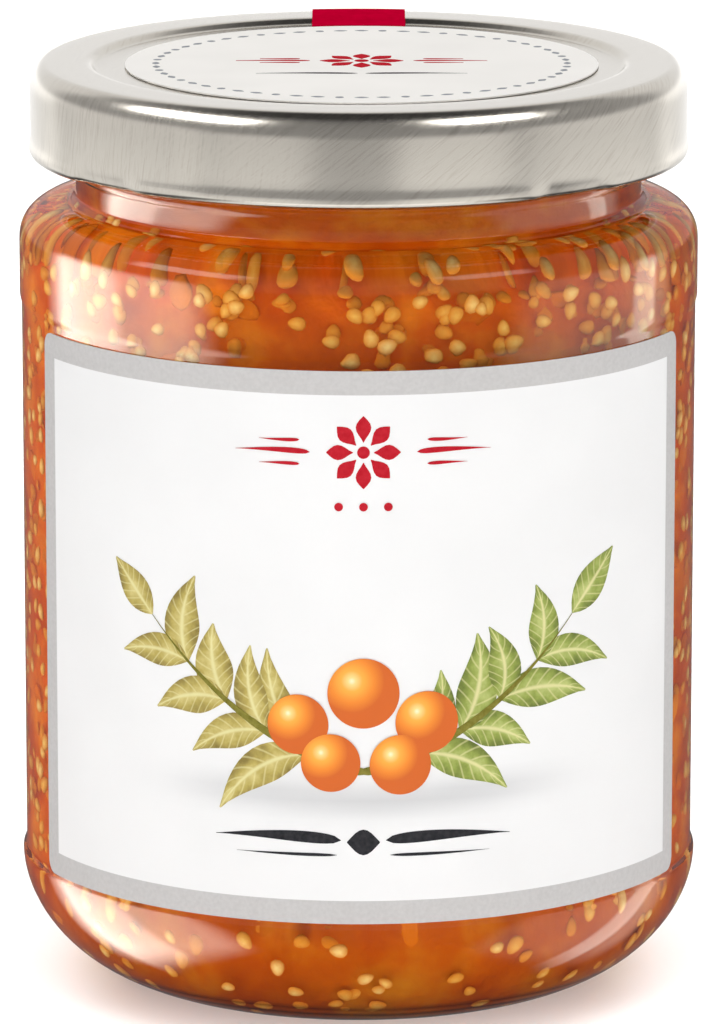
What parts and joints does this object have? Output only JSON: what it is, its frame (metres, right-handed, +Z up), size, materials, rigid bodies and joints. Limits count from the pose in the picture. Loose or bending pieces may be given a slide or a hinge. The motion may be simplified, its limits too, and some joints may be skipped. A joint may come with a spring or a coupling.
{
  "type": "jar of physalis fruit spread",
  "caption": "Round glass jar filled with seeded orange fruit spread, closed by a twist-off metal lid, with a wrap-round front label, a round lid label and a red seal strip.",
  "frame": {"origin": "on the jar's axis, at the level of the surface that it stands on", "axes": "+Z up along the jar's axis; the middle of the front label faces -Y; +X is to the right of someone who reads the label"},
  "size_m": [0.0684, 0.0684, 0.0938],
  "materials": {
    "glass": "clear flint glass, pressed and blown, glossy",
    "jam": "wet, translucent orange fruit spread full of pale seeds",
    "label_paper": "coated white label paper, satin",
    "strip_paper": "crimson printed paper, satin",
    "tinplate": "lacquered tinplate, finely brushed",
    "sealant": "cream sealing compound, matt"
  },
  "bodies": {
    "jar": {"jar_glass": "glass", "jam": "jam", "front_label": "label_paper"},
    "lid": {"lid_shell": "tinplate", "seal_ring": "sealant", "lid_label": "label_paper", "seal_strip": "strip_paper"}
  },
  "joints": [
    {"name": "lid_twist", "type": "hinge", "parent": "jar", "child": "lid", "pos_m": [0, 0, 0.0885], "axis": [0, 0, 1], "range_deg": [0, 68]}
  ]
}
